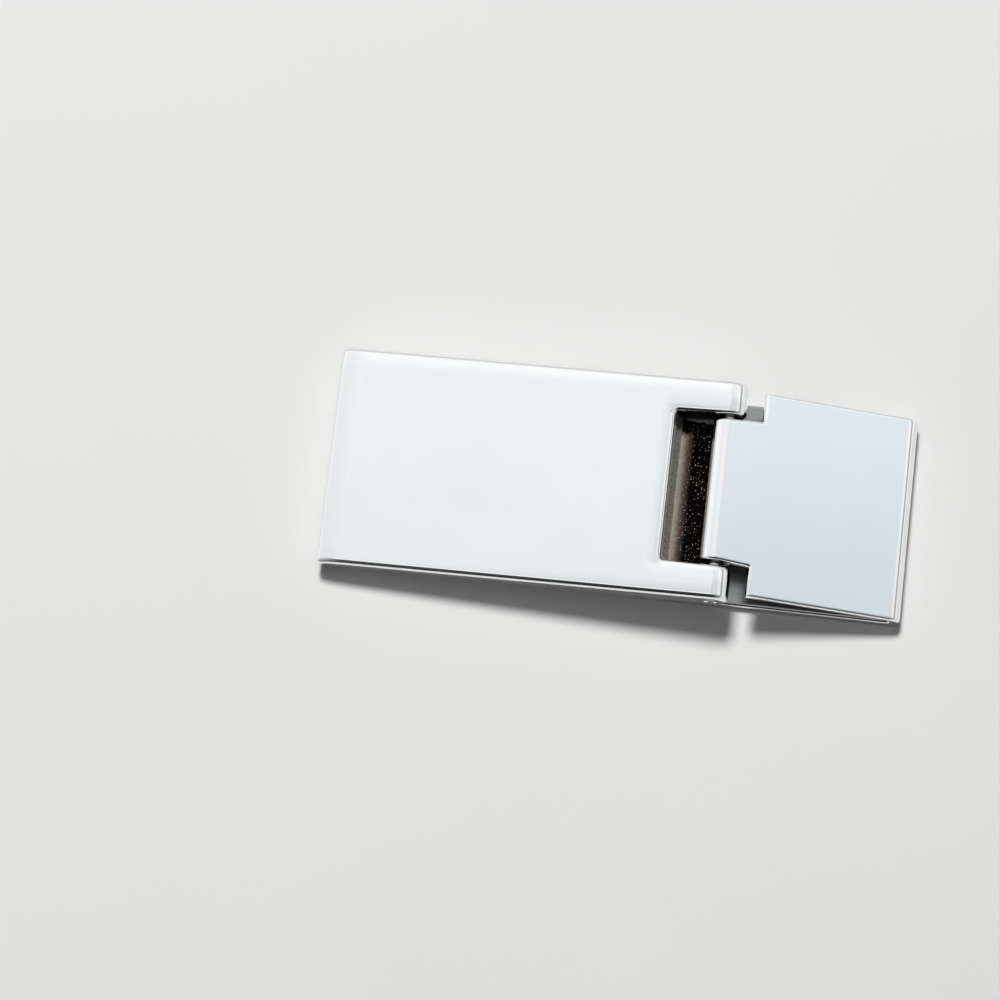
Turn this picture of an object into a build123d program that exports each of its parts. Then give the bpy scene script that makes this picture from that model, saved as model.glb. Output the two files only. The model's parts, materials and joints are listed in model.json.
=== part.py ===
from build123d import *
import math
import os

# Hinged money clip, in millimetres.
# The origin is the middle of the back plate's outer face, which is the face the clip rests on.
# +X runs toward the folded end, +Y across the width, and +Z up from the back plate to the front flap.
# A bent sheet makes the back plate, the fold and a short front plate. The front plate narrows to a
# tongue whose end is rolled round a pin. The flap hangs on that pin by two lugs, and a leaf spring
# riveted under the flap presses on the flats of the rolled end, so the flap snaps shut and open.

# Whole clip
LENGTH = 60.4
BODY_WIDTH = 21.7
FLAP_WIDTH = 23.2
CUT_MARGIN = 1.0  # how far a cutting block runs past what it cuts

# Bent sheet body
SHEET = 1.1
SHEET_EDGE_ROUND = 0.4
FOLD_RADIUS = 1.4  # outer radius of the fold
FRONT_SLOPE = 12.9  # degrees that the front plate rises from the fold toward the hinge
BACK_TIP_SETBACK = 0.8  # the back plate ends this far short of the flap's tip
BACK_CORNER_RADIUS = 1.5
SHOULDER_TO_PIN = 3.55  # from the step where the front plate narrows to the hinge axis
TONGUE_ROOT_WIDTH = 15.4
TONGUE_TIP_WIDTH = 15.05
TRIM_FLOOR = 1.65  # the cuts beside the tongue stop at this height, clear of the back plate

# Hinge
PIN_X = 10.5
PIN_RADIUS = 0.65
PIN_RUNNING_CLEARANCE = 0.03
PIN_END_INSET = 0.04  # each end is peened just below the flap's side face
PIN_CHAMFER = 0.15
CAM_FLAT_DISTANCE = 1.58  # from the hinge axis to each flat pressed on the rolled end
ROLL_SEAM_GAP = 0.05

# Cast flap
FLAP_SLOPE = 4.9  # degrees that the flap's top face falls from the hinge toward its tip
LUG_RADIUS = 1.75
TIP_THICKNESS = 2.1
TIP_CURL_LENGTH = 2.6
TIP_CURL_RADIUS = 8.5
TIP_EDGE_ROUND = 0.2
TIP_SPARE = 3.0  # extra length that is cut away, so that the rounded long edges run out at the tip
FLAP_EDGE_ROUND = 0.6
NOTCH_DEPTH = 5.75  # from the hinge axis to the top of the notch's back wall
NOTCH_WALL_DRAFT = 22  # degrees that the back wall leans, so its foot is nearer the hinge than its top
NOTCH_ROOT_WIDTH = 15.8
NOTCH_MOUTH_WIDTH = 16.1
NOTCH_CORNER_RADIUS = 0.4
NOTCH_EDGE_ROUND = 0.45

# Leaf spring and its rivets
SPRING_THICKNESS = 0.45
SPRING_WIDTH = 15.2
SPRING_STRAIGHT = 15.5
SPRING_CONTACT_GAP = 0.02
SPRING_DIP_ANGLE = 16  # steepest fall after the straight, in degrees
SPRING_RISE_ANGLE = 14  # steepest rise up to the rolled end
SPRING_TOE_ANGLE = 30  # how far the toe turns down past the rolled end
SPRING_CREST_RADIUS = 9.0  # top-face radii of the three bends after the straight
SPRING_VALLEY_RADIUS = 4.0
SPRING_TOE_RADIUS = 2.2
POCKET_WIDTH = 15.5
POCKET_END_CLEARANCE = 0.3
POCKET_CORNER_RADIUS = 0.8
RIVET_RADIUS = 0.75
RIVET_HEAD_RADIUS = 1.4
RIVET_HEAD_HEIGHT = 0.4
RIVET_HEAD_ROUND = 0.28
RIVET_DEPTH = 1.2  # how far the shank goes into the flap
RIVET_TO_PIN = 17.0
RIVET_SPACING = 8.0
RIVET_HOLE_CLEARANCE = 0.05

# Places worked out from the sizes above
KNUCKLE_RADIUS = PIN_RADIUS + PIN_RUNNING_CLEARANCE + SHEET
FOLD_CENTRE = Vector(LENGTH / 2 - FOLD_RADIUS, FOLD_RADIUS)
TIP_X = -LENGTH / 2
BACK_TIP_X = TIP_X + BACK_TIP_SETBACK
SHOULDER_X = PIN_X + SHOULDER_TO_PIN


def direction(degrees):
    """The unit vector at an angle from +X toward +Z, in the side view's own x and y."""
    return Vector(math.cos(math.radians(degrees)), math.sin(math.radians(degrees)))


PLATE_NORMAL = direction(90 - FRONT_SLOPE)
PLATE_UPHILL = direction(180 - FRONT_SLOPE)
pin_line_start = FOLD_CENTRE + PLATE_NORMAL * (FOLD_RADIUS - KNUCKLE_RADIUS)
PIN = pin_line_start + PLATE_UPHILL * ((pin_line_start.X - PIN_X) / math.cos(math.radians(FRONT_SLOPE)))

FLAP_TOP_NORMAL = direction(90 + FLAP_SLOPE)
FLAP_TAPER = math.degrees(math.atan((2 * LUG_RADIUS - TIP_THICKNESS) / (PIN_X - TIP_X)))
UNDERSIDE_SLOPE = FLAP_SLOPE - FLAP_TAPER
UNDERSIDE_NORMAL = direction(UNDERSIDE_SLOPE - 90)
RIVET_X = PIN_X - RIVET_TO_PIN
RIVET_Y = [-RIVET_SPACING / 2, RIVET_SPACING / 2]

# The leaf spring's bends in order, as top-face radius and turn, with a turn upward as positive
SPRING_BENDS = [
    (SPRING_CREST_RADIUS, -(UNDERSIDE_SLOPE + SPRING_DIP_ANGLE)),
    (SPRING_VALLEY_RADIUS, SPRING_DIP_ANGLE + SPRING_RISE_ANGLE),
    (SPRING_TOE_RADIUS, -SPRING_RISE_ANGLE),
    (SPRING_TOE_RADIUS, -SPRING_TOE_ANGLE),
]


def bend_travel(bends, angle):
    """How far a strip travels through some bends, starting at an angle."""
    travel = Vector(0, 0)
    for radius, turn in bends:
        side = math.copysign(radius, turn)
        before, after = direction(angle), direction(angle + turn)
        travel += Vector(after.Y - before.Y, before.X - after.X) * side
        angle += turn
    return travel


spring_contact = PIN - Vector(0, CAM_FLAT_DISTANCE + SPRING_CONTACT_GAP)
SPRING_STRAIGHT_END = spring_contact - bend_travel(SPRING_BENDS[:3], UNDERSIDE_SLOPE)
SPRING_START = SPRING_STRAIGHT_END - direction(UNDERSIDE_SLOPE) * SPRING_STRAIGHT
POCKET_DEPTH = LUG_RADIUS - (SPRING_STRAIGHT_END - PIN).dot(UNDERSIDE_NORMAL)


def flap_top(x):
    """Height of the flap's flat top face at x."""
    touch = PIN + FLAP_TOP_NORMAL * LUG_RADIUS
    return touch.Y + (x - touch.X) * math.tan(math.radians(FLAP_SLOPE))


def underside(x, depth=0.0):
    """Height at x of the flap's underside, or of a plane that lies depth deeper inside the flap."""
    touch = PIN + UNDERSIDE_NORMAL * (LUG_RADIUS - depth)
    return touch.Y + (x - touch.X) * math.tan(math.radians(UNDERSIDE_SLOPE))


def slab(profile, width):
    """A side-view face extruded by width, half to each side of the middle."""
    return extrude(Plane.XZ * profile, amount=width / 2, both=True)


def cylinder_across(radius, width):
    """A cylinder along Y on the hinge axis."""
    return Pos(PIN.X, 0, PIN.Y) * Rot(90, 0, 0) * Cylinder(radius, width)


def plan_wedge(x_left, x_right, width_left, width_right):
    """A tall block, symmetric about the middle, whose width changes evenly from one end to the other."""
    outline = Polyline(
        (x_left, -width_left / 2),
        (x_right, -width_right / 2),
        (x_right, width_right / 2),
        (x_left, width_left / 2),
        close=True,
    )
    return extrude(make_face(outline), amount=LENGTH, both=True)


def bent_strip():
    """Back plate, fold and sloping front plate at full width, with rounded long edges."""
    plate_top = FOLD_CENTRE + PLATE_NORMAL * FOLD_RADIUS
    plate_end = PIN + PLATE_NORMAL * KNUCKLE_RADIUS
    inner_radius = FOLD_RADIUS - SHEET
    middle = direction(-FRONT_SLOPE / 2)
    profile = make_face(
        Curve()
        + [
            Line((BACK_TIP_X, 0), (FOLD_CENTRE.X, 0)),
            ThreePointArc((FOLD_CENTRE.X, 0), FOLD_CENTRE + middle * FOLD_RADIUS, plate_top),
            Line(plate_top, plate_end),
            Line(plate_end, plate_end - PLATE_NORMAL * SHEET),
            Line(plate_end - PLATE_NORMAL * SHEET, plate_top - PLATE_NORMAL * SHEET),
            ThreePointArc(
                plate_top - PLATE_NORMAL * SHEET,
                FOLD_CENTRE + middle * inner_radius,
                (FOLD_CENTRE.X, SHEET),
            ),
            Line((FOLD_CENTRE.X, SHEET), (BACK_TIP_X, SHEET)),
            Line((BACK_TIP_X, SHEET), (BACK_TIP_X, 0)),
        ]
    )
    strip = slab(profile, BODY_WIDTH)
    upright_tip_corners = strip.edges().filter_by(Axis.Z)
    strip = fillet(upright_tip_corners, BACK_CORNER_RADIUS)
    rims = strip.faces().sort_by(Axis.Y)
    return fillet(rims[0].edges() + rims[-1].edges(), SHEET_EDGE_ROUND)


def tongue_trim():
    """The two blocks that narrow the front plate to a tongue, clear of the back plate below."""
    reach_x = PIN.X - 2 * KNUCKLE_RADIUS
    taper = (TONGUE_ROOT_WIDTH - TONGUE_TIP_WIDTH) / (SHOULDER_TO_PIN + KNUCKLE_RADIUS)
    end_width = TONGUE_ROOT_WIDTH - taper * (SHOULDER_X - reach_x)
    length = SHOULDER_X - reach_x
    blank = Pos(SHOULDER_X - length / 2, 0, PIN.Y) * Box(length, 2 * BODY_WIDTH, 2 * (PIN.Y - TRIM_FLOOR))
    return blank - plan_wedge(reach_x, SHOULDER_X, end_width, TONGUE_ROOT_WIDTH)


def seam_wedge():
    """The gap between the end of the rolled sheet and the plate that it rolls back to."""
    rise = KNUCKLE_RADIUS - SHEET
    reach = math.sqrt(KNUCKLE_RADIUS**2 - (rise - ROLL_SEAM_GAP) ** 2) * rise / (rise - ROLL_SEAM_GAP)
    sheet_underside = PIN + PLATE_NORMAL * rise
    outline = Polyline(PIN, sheet_underside - PLATE_UPHILL * reach, sheet_underside, close=True)
    return slab(make_face(outline), BODY_WIDTH)


def cam_flats():
    """The two slices pressed flat on the rolled end: one below it and one on the flap's side."""
    slice_depth = 2 * (KNUCKLE_RADIUS - CAM_FLAT_DISTANCE)
    reach = 2 * KNUCKLE_RADIUS
    below = Pos(PIN.X, 0, PIN.Y - KNUCKLE_RADIUS) * Box(reach, BODY_WIDTH, slice_depth)
    beside = Pos(PIN.X - KNUCKLE_RADIUS, 0, PIN.Y) * Box(slice_depth, BODY_WIDTH, reach)
    return below + beside


def clip_body():
    """The whole bent sheet: back plate, fold, front plate, tongue and rolled end."""
    blank = bent_strip() + cylinder_across(KNUCKLE_RADIUS, BODY_WIDTH)
    bore = cylinder_across(PIN_RADIUS + PIN_RUNNING_CLEARANCE, BODY_WIDTH + 2 * CUT_MARGIN)
    return blank - tongue_trim() - cam_flats() - bore - seam_wedge()


def tip_offcut():
    """What is cut away at the tip: everything past it, and what lies above the curl of the top face."""
    curl_start = Vector(TIP_X + TIP_CURL_LENGTH, flap_top(TIP_X + TIP_CURL_LENGTH))
    end_sine = math.sin(math.radians(FLAP_SLOPE)) + TIP_CURL_LENGTH / TIP_CURL_RADIUS
    curl_turn = math.degrees(math.asin(end_sine)) - FLAP_SLOPE
    curl = JernArc(curl_start, direction(180 + FLAP_SLOPE), TIP_CURL_RADIUS, curl_turn)
    past_x = TIP_X - 2 * TIP_SPARE
    outline = Polyline(
        curl @ 1,
        (TIP_X, 0),
        (past_x, 0),
        (past_x, LENGTH),
        (curl_start.X, LENGTH),
        curl_start,
    )
    return slab(make_face(Curve() + [curl, outline]), 2 * FLAP_WIDTH)


def flap_blank():
    """The flap's side view at full width, with rounded long edges and a squarely cut tip."""
    spare_top = Vector(TIP_X - TIP_SPARE, flap_top(TIP_X - TIP_SPARE))
    spare_bottom = Vector(spare_top.X, underside(spare_top.X))
    top_touch = PIN + FLAP_TOP_NORMAL * LUG_RADIUS
    bottom_touch = PIN + UNDERSIDE_NORMAL * LUG_RADIUS
    profile = make_face(
        Curve()
        + [
            Line(top_touch, spare_top),
            Line(spare_top, spare_bottom),
            Line(spare_bottom, bottom_touch),
            ThreePointArc(bottom_touch, PIN + direction(0) * LUG_RADIUS, top_touch),
        ]
    )
    blank = slab(profile, FLAP_WIDTH)
    sides = blank.faces().sort_by(Axis.Y)
    blank = fillet(sides[0].edges() + sides[-1].edges(), FLAP_EDGE_ROUND) - tip_offcut()
    tip_face = blank.faces().sort_by(Axis.X)[0]
    return fillet(tip_face.edges(), TIP_EDGE_ROUND)


def notch_wall(height):
    """The x of the notch's leaning back wall at a height."""
    rim_x = PIN.X - NOTCH_DEPTH
    return rim_x + (flap_top(rim_x) - height) * math.tan(math.radians(NOTCH_WALL_DRAFT))


def notch():
    """The tall block removed between the lugs, with a leaning back wall and rounded corners beside it."""
    rim_x = PIN.X - NOTCH_DEPTH
    mouth_x = PIN.X + 2 * LUG_RADIUS
    top_z = 2 * PIN.Y
    start_x = notch_wall(top_z) - CUT_MARGIN
    flare = (NOTCH_MOUTH_WIDTH - NOTCH_ROOT_WIDTH) / (NOTCH_DEPTH + LUG_RADIUS)
    start_width = NOTCH_ROOT_WIDTH + flare * (start_x - rim_x)
    mouth_width = NOTCH_ROOT_WIDTH + flare * (mouth_x - rim_x)
    side_view = Polyline(
        (notch_wall(0), 0),
        (mouth_x, 0),
        (mouth_x, top_z),
        (notch_wall(top_z), top_z),
        close=True,
    )
    block = plan_wedge(start_x, mouth_x, start_width, mouth_width) & slab(make_face(side_view), FLAP_WIDTH)
    back_wall = block.faces().sort_by(Axis.X)[0]
    return fillet(back_wall.edges().filter_by(Axis.Y, reverse=True), NOTCH_CORNER_RADIUS)


def spring_pocket():
    """The shallow recess in the flap's underside that the spring lies in."""
    end_x = SPRING_START.X - POCKET_END_CLEARANCE
    mouth_x = PIN.X - NOTCH_DEPTH / 2
    outline = Polyline(
        (end_x, underside(end_x, POCKET_DEPTH)),
        (mouth_x, underside(mouth_x, POCKET_DEPTH)),
        (mouth_x, 0),
        (end_x, 0),
        close=True,
    )
    block = slab(make_face(outline), POCKET_WIDTH)
    corners = block.edges().filter_by(Axis.Z).sort_by(Axis.X)[:2]
    return fillet(corners, POCKET_CORNER_RADIUS)


def rivet_frame(y):
    """A frame on the pocket's ceiling at one rivet, with its z axis pointing into the flap."""
    return Plane(
        origin=(RIVET_X, y, underside(RIVET_X, POCKET_DEPTH)),
        x_dir=(0, 1, 0),
        z_dir=(-UNDERSIDE_NORMAL.X, 0, -UNDERSIDE_NORMAL.Y),
    )


def front_flap():
    """The cast flap with its two lugs, pin hole, spring pocket and blind rivet holes."""
    blank = flap_blank()
    block = notch()
    flap = blank - block
    notch_rim = new_edges(blank, block, combined=flap)
    top_rim = notch_rim.filter_by(lambda edge: edge.center().Z > PIN.Y + LUG_RADIUS / 2)
    flap = fillet(top_rim, NOTCH_EDGE_ROUND)
    flap -= spring_pocket()
    flap -= cylinder_across(PIN_RADIUS, FLAP_WIDTH + 2 * CUT_MARGIN)
    upward = (Align.CENTER, Align.CENTER, Align.MIN)
    for y in RIVET_Y:
        flap -= rivet_frame(y) * Cylinder(RIVET_RADIUS, RIVET_DEPTH, align=upward)
    return flap


def hinge_pin():
    """The pin that is pressed through both lugs and turns in the rolled end."""
    pin = cylinder_across(PIN_RADIUS, FLAP_WIDTH - 2 * PIN_END_INSET)
    return chamfer(pin.edges().filter_by(GeomType.CIRCLE), PIN_CHAMFER)


def leaf_edge(depth):
    """One face of the leaf spring in the side view, that far below its top face, from start to toe."""
    angle = UNDERSIDE_SLOPE
    below = direction(angle - 90) * depth
    edges = [Line(SPRING_START + below, SPRING_STRAIGHT_END + below)]
    for radius, turn in SPRING_BENDS:
        edge_radius = radius + math.copysign(depth, turn)
        edges.append(JernArc(edges[-1] @ 1, direction(angle), edge_radius, turn))
        angle += turn
    return edges


def leaf_spring():
    """The strip that follows the pocket, dips, rises to the rolled end and turns down at its toe."""
    top = leaf_edge(0)
    bottom = leaf_edge(SPRING_THICKNESS)
    ends = [Line(top[0] @ 0, bottom[0] @ 0), Line(top[-1] @ 1, bottom[-1] @ 1)]
    spring = slab(make_face(Curve() + top + bottom + ends), SPRING_WIDTH)
    for y in RIVET_Y:
        spring -= rivet_frame(y) * Cylinder(RIVET_RADIUS + RIVET_HOLE_CLEARANCE, 4 * SPRING_THICKNESS)
    return spring


def rivet():
    """One rivet, with its shank up and its domed head below the spring's lower face."""
    seat = Pos(0, 0, -SPRING_THICKNESS)
    upward = (Align.CENTER, Align.CENTER, Align.MIN)
    downward = (Align.CENTER, Align.CENTER, Align.MAX)
    shank = seat * Cylinder(RIVET_RADIUS, RIVET_DEPTH + SPRING_THICKNESS, align=upward)
    head = seat * Cylinder(RIVET_HEAD_RADIUS, RIVET_HEAD_HEIGHT, align=downward)
    rim = head.edges().sort_by(Axis.Z)[0]
    return shank + fillet(rim, RIVET_HEAD_ROUND)


def spring_rivets():
    """Both rivets, as separate solids."""
    return Compound([rivet_frame(y) * rivet() for y in RIVET_Y])


PARTS = {
    "clip_body": clip_body,
    "front_flap": front_flap,
    "hinge_pin": hinge_pin,
    "leaf_spring": leaf_spring,
    "spring_rivets": spring_rivets,
}

os.makedirs("parts", exist_ok=True)
for name, build in PARTS.items():
    export_step(build(), f"parts/{name}.step")
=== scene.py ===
import json
import math

import bmesh
import bpy
from mathutils import Matrix, Vector


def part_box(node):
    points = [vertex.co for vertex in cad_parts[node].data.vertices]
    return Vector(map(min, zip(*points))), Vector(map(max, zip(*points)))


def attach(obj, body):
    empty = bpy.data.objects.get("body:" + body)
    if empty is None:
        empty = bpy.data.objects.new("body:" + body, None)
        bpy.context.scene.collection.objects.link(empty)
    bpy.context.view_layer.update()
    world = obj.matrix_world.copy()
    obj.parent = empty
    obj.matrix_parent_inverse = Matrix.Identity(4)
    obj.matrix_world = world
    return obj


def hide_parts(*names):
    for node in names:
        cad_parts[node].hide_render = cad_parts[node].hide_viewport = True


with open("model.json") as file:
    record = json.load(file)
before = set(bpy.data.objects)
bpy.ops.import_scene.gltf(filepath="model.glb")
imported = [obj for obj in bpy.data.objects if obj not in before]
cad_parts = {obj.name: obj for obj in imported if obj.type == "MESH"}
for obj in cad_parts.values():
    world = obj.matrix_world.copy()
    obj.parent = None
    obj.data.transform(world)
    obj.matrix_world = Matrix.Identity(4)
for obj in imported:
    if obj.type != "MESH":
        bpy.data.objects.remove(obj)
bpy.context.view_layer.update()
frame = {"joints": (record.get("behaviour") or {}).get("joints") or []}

# Looks of the hinged money clip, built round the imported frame.
# Lengths in this script are millimetres until a mesh is finished, and MM turns them into metres.
# Side-view points are 2-D: x along the clip, y for height. Angles are degrees from +X toward +Z.
MM = 0.001

SAME_PLACE = 0.001  # points closer than this are taken as one
MERGE_GAP = 0.0005  # vertices closer than this are merged
ON_PLANE = 1e-6  # vertices this near a cutting plane are on it
STRAIGHT_STEP = 4.0  # spacing of the cuts across the straights of a bent sheet

# ---------------------------------------------------------------- sizes from the frame
body_low, body_high = [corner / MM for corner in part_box("clip_body")]
flap_low, flap_high = [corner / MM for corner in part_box("front_flap")]
pin_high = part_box("hinge_pin")[1] / MM
spring_low, spring_high = [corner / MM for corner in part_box("leaf_spring")]
hinge = frame["joints"][0]
PIN = Vector((hinge["pos_m"][0], hinge["pos_m"][2])) / MM
BODY_HALF_WIDTH = body_high.y
FLAP_HALF_WIDTH = flap_high.y
SPRING_HALF_WIDTH = spring_high.y
PIN_HALF_LENGTH = pin_high.y
PIN_RADIUS = pin_high.x - PIN.x
LUG_RADIUS = flap_high.x - PIN.x
KNUCKLE_RADIUS = body_high.z - PIN.y
TIP_X = flap_low.x

# ---------------------------------------------------------------- sizes of the bent sheet
SHEET = 1.1
SHEET_EDGE_ROUND = 0.4
FOLD_RADIUS = 1.4
FRONT_SLOPE = 12.9
BACK_CORNER_RADIUS = 1.5
SHOULDER_X = PIN.x + 3.55
SHOULDER_CORNER_RADIUS = 0.12
TONGUE_ROOT_HALF_WIDTH = 7.7
TONGUE_TIP_HALF_WIDTH = 7.525
CAM_FLAT_DISTANCE = 1.58
ROLL_TURN = 290
BEND_STEP = 3  # degrees of bend between two cuts across a bent sheet
FOLD_CENTRE = Vector((body_high.x - FOLD_RADIUS, FOLD_RADIUS))

# ---------------------------------------------------------------- sizes of the cast flap
FLAP_SLOPE = 4.9
UNDERSIDE_SLOPE = 2.93
FLAP_EDGE_ROUND = 0.6
TIP_SPARE = 3.0
TIP_EDGE_ROUND = 0.2
TIP_CURL_LENGTH = 2.6
TIP_CURL_RADIUS = 8.5
NOTCH_RIM_X = PIN.x - 5.75  # where the notch's leaning back wall meets the top face
NOTCH_WALL_DRAFT = 22
NOTCH_ROOT_HALF_WIDTH = 7.9
NOTCH_MOUTH_HALF_WIDTH = 8.05
NOTCH_CORNER_RADIUS = 0.4
NOTCH_EDGE_ROUND = 0.45
ROLL_OFF_WIDTH = 1.25  # polishing rounds the faces off over this width beside each edge
ROLL_OFF_DROP = 0.055
POCKET_HALF_WIDTH = SPRING_HALF_WIDTH + 0.15
POCKET_DEPTH = 0.743
POCKET_END_X = spring_low.x - 0.3
POCKET_CORNER_RADIUS = 0.8
POCKET_MOUTH_X = PIN.x - 3.0  # the pocket's cutter ends here, in the open notch
CUTTER_CORNER_RADIUS = 0.1
CUTTER_HEIGHT = 3.0
CUTTER_SPARE = 0.2  # how far a cutter stands proud of the flap
PIN_HOLE_CLEARANCE = 0.02
PIN_HOLE_CHAMFER = 0.08
PIN_HOLE_DEPTH = 1.0
ROLL_OFF_CUTS = (0.0, 0.18, 0.38, 0.6, 0.8, 1.0)  # shares of the roll-off's width
TIP_CURL_CUTS = (0.35, 0.7, 1.05, 1.4, 1.8, 2.2, TIP_CURL_LENGTH)  # distances from the tip

# ---------------------------------------------------------------- sizes of the pin, spring and rivets
# The pin's peened end: radius, and how far it lies below the end's middle
PIN_DOME = [(0.0, 0.0), (0.22, 0.004), (0.4, 0.02), (0.5, 0.05), (0.58, 0.11), (PIN_RADIUS, 0.26)]
SPRING_THICKNESS = 0.45
SPRING_EDGE_ROUND = 0.08
SPRING_CORNER_RADIUS = 0.5
SPRING_STRAIGHT = 15.5
SPRING_BENDS = [(9.0, -(UNDERSIDE_SLOPE + 16)), (4.0, 30), (2.2, -14), (2.2, -30)]  # radius, turn
BENDS_TO_CONTACT = 3  # the spring touches the rolled end after this many bends
SPRING_PLAY = 0.02
RIVET_X = PIN.x - 17.0
RIVET_HALF_SPACING = 4.0
RIVET_HEAD_RADIUS = 1.4
RIVET_HEAD_HEIGHT = 0.4
RIVET_SHANK_RADIUS = 0.75
RIVET_SHANK_LENGTH = 1.0
RIVET_HEAD_PLAY = 0.01
RIVET_HEAD_RIM = 0.08


# ================================================================ side-view geometry
def direction(degrees):
    """The side view's unit vector at an angle from +X toward +Z."""
    return Vector((math.cos(math.radians(degrees)), math.sin(math.radians(degrees))))


def left_of(vector):
    """A side-view vector turned a quarter turn counterclockwise."""
    return Vector((-vector.y, vector.x))


class Path:
    """A side-view line of straights and arcs, each tangent to the one before."""

    def __init__(self, start, heading):
        self.legs = []
        self.end = start
        self.heading = heading
        self.length = 0.0

    def run(self, length):
        """Adds a straight."""
        self.legs.append((self.length, self.end, self.heading, None))
        self.end = self.end + direction(self.heading) * length
        self.length += length

    def turn(self, radius, degrees):
        """Adds an arc that turns left for positive degrees and right for negative ones."""
        radius = math.copysign(radius, degrees)
        self.legs.append((self.length, self.end, self.heading, radius))
        centre = self.end + left_of(direction(self.heading)) * radius
        self.heading += degrees
        self.end = centre - left_of(direction(self.heading)) * radius
        self.length += abs(radius * math.radians(degrees))

    def at(self, distance):
        """The point that far along the path, and the heading there."""
        leg_start, point, heading, radius = [leg for leg in self.legs if leg[0] <= max(distance, 0.0)][-1]
        travel = distance - leg_start
        if radius is None:
            return point + direction(heading) * travel, heading
        centre = point + left_of(direction(heading)) * radius
        heading += math.degrees(travel / radius)
        return centre - left_of(direction(heading)) * radius, heading

    def cuts(self, straight_step):
        """Distances at which a sheet on the path is cut: closely in bends, widely in straights."""
        ends = [leg[0] for leg in self.legs[1:]] + [self.length]
        found = []
        for (start, _, _, radius), end in zip(self.legs, ends):
            step = straight_step if radius is None else abs(radius) * math.radians(BEND_STEP)
            count = max(1, round((end - start) / step))
            found += [start + (end - start) * i / count for i in range(count)]
        return found[1:]


def flap_top(x):
    """Height of the flap's flat top face."""
    touch = PIN + direction(90 + FLAP_SLOPE) * LUG_RADIUS
    return touch.y + (x - touch.x) * math.tan(math.radians(FLAP_SLOPE))


def underside(x, depth=0.0):
    """Height of the flap's underside, or of a plane depth deeper inside the flap."""
    touch = PIN + direction(UNDERSIDE_SLOPE - 90) * (LUG_RADIUS - depth)
    return touch.y + (x - touch.x) * math.tan(math.radians(UNDERSIDE_SLOPE))


# ================================================================ mesh helpers
def finish_mesh(bm, name, body, nodes, material):
    """Turns a bmesh in millimetres into a smooth piece that rides on a body and stands for CAD nodes."""
    bmesh.ops.remove_doubles(bm, verts=bm.verts, dist=MERGE_GAP)
    bmesh.ops.dissolve_degenerate(bm, edges=bm.edges, dist=MERGE_GAP)
    bmesh.ops.recalc_face_normals(bm, faces=bm.faces)
    for face in bm.faces:
        face.smooth = True
    mesh = bpy.data.meshes.new(name)
    bm.to_mesh(mesh)
    bm.free()
    mesh.transform(Matrix.Scale(MM, 4))
    piece = bpy.data.objects.new(name, mesh)
    bpy.context.scene.collection.objects.link(piece)
    mesh.materials.append(material)
    weighted = piece.modifiers.new("flat_faces_stay_flat", "WEIGHTED_NORMAL")
    weighted.weight = 50
    weighted.keep_sharp = True
    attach(piece, body)
    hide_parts(*nodes)
    return piece


def outline_points(corners, inset, arc_segments):
    """A counterclockwise outline, moved inward, with the same number of points for every inset.

    Each corner is (x, y, radius). The inset shrinks a convex corner's radius and grows a concave one's.
    """
    points = []
    count = len(corners)
    for i, (x, y, radius) in enumerate(corners):
        here = Vector((x, y))
        before = (here - Vector(corners[i - 1][:2])).normalized()
        after = (Vector(corners[(i + 1) % count][:2]) - here).normalized()
        turn = math.atan2(before.cross(after), before.dot(after))
        shifted = here + (left_of(before) + left_of(after)) * (inset / (1 + before.dot(after)))
        rounded = max(radius - inset, 0.0) if turn > 0 else radius + inset
        back_off = rounded * math.tan(abs(turn) / 2)
        centre = shifted - before * back_off + left_of(before) * math.copysign(rounded, turn)
        for j in range(arc_segments + 1):
            swing = Matrix.Rotation(turn * j / arc_segments, 2)
            points.append(centre - swing @ (left_of(before) * math.copysign(rounded, turn)))
    return points


def rounded_plate(corners, thickness, edge_round, arc_segments=6, round_segments=5):
    """A flat plate with rounded edges. Its outer face is at z = 0 and its inner one at z = thickness."""
    quarter = [math.radians(90) * i / round_segments for i in range(round_segments + 1)]
    levels = [(edge_round * (1 - math.sin(a)), edge_round * (1 - math.cos(a))) for a in quarter]
    levels += [(inset, thickness - depth) for inset, depth in reversed(levels)]
    bm = bmesh.new()
    rings = []
    for inset, depth in levels:
        ring = [bm.verts.new((p.x, p.y, depth)) for p in outline_points(corners, inset, arc_segments)]
        rings.append(ring)
    for ring, following in zip(rings, rings[1:]):
        for i in range(len(ring)):
            j = (i + 1) % len(ring)
            bm.faces.new((ring[i], ring[j], following[j], following[i]))
    bm.faces.new(rings[0])
    bm.faces.new(rings[-1])
    bmesh.ops.remove_doubles(bm, verts=bm.verts, dist=MERGE_GAP)
    return bm


def in_order(elements):
    """Mesh elements without repeats, in the order they come in."""
    return list(dict.fromkeys(elements))


def cut(bm, point, normal, faces=None):
    """Cuts faces along a plane, keeping both sides."""
    faces = list(bm.faces) if faces is None else faces
    edges = in_order(e for f in faces for e in f.edges)
    verts = in_order(v for f in faces for v in f.verts)
    bmesh.ops.bisect_plane(bm, geom=faces + edges + verts, plane_co=point, plane_no=normal, dist=ON_PLANE)


def bend(bm, path, inward):
    """Wraps a flat plate along a path. inward is +1 if the sheet lies left of the path, and -1 if right."""
    for vert in bm.verts:
        point, heading = path.at(vert.co.x)
        point = point + left_of(direction(heading)) * (inward * vert.co.z)
        vert.co = (point.x, vert.co.y, point.y)


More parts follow.
